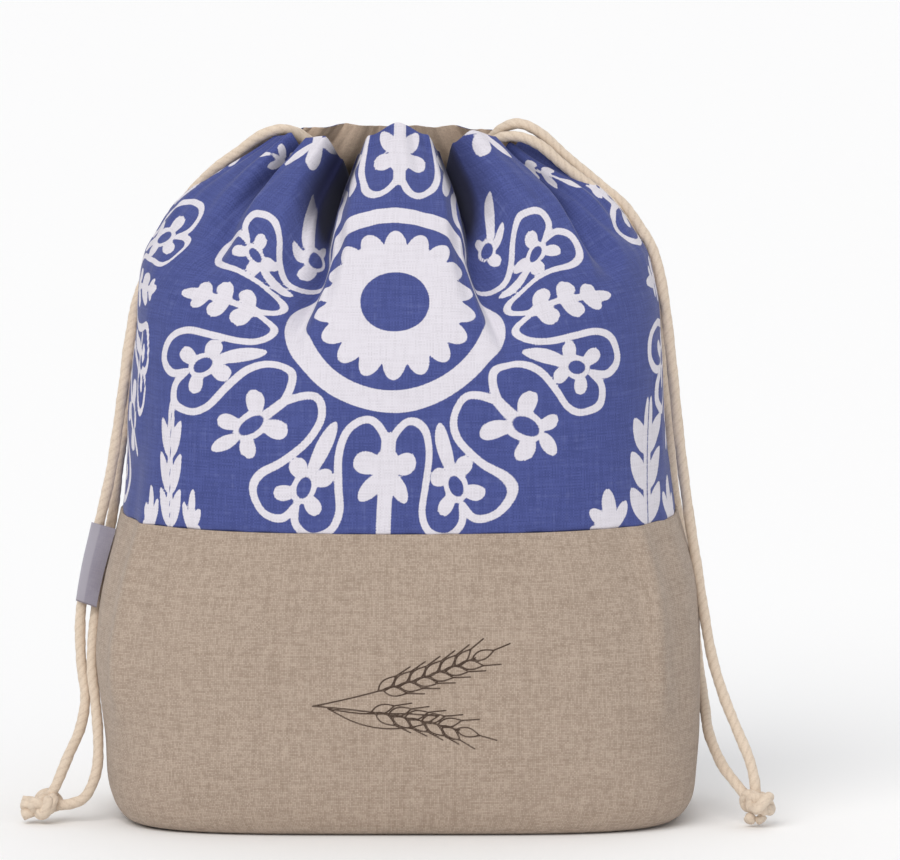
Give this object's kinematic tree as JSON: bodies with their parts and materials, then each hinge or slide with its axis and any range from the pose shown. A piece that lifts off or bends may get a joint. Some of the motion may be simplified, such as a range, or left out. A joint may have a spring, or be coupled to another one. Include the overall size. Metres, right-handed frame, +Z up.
{
  "type": "linen bread bag",
  "caption": "Drawstring linen bread bag with a boxed plain base, a blue and white printed upper panel gathered at the mouth, twisted cotton cords and a blank side label.",
  "frame": {"origin": "middle of the flat base, on the surface the bag stands on", "axes": "+Z up, -Y towards the front with the printed medallion, +X to the right seen from the front"},
  "size_m": [0.3225, 0.16, 0.2972],
  "materials": {
    "natural_linen": "matt",
    "printed_linen": "matt",
    "label_satin": "satin",
    "cotton_cord": "matt"
  },
  "bodies": {
    "root": {"lower_panel": "natural_linen", "upper_panel": "printed_linen", "lining": "natural_linen", "side_label": "label_satin", "cord_left_outer": "cotton_cord", "cord_left_inner": "cotton_cord", "cord_right_outer": "cotton_cord", "cord_right_inner": "cotton_cord", "knot_left": "cotton_cord", "knot_right": "cotton_cord"}
  },
  "joints": []
}
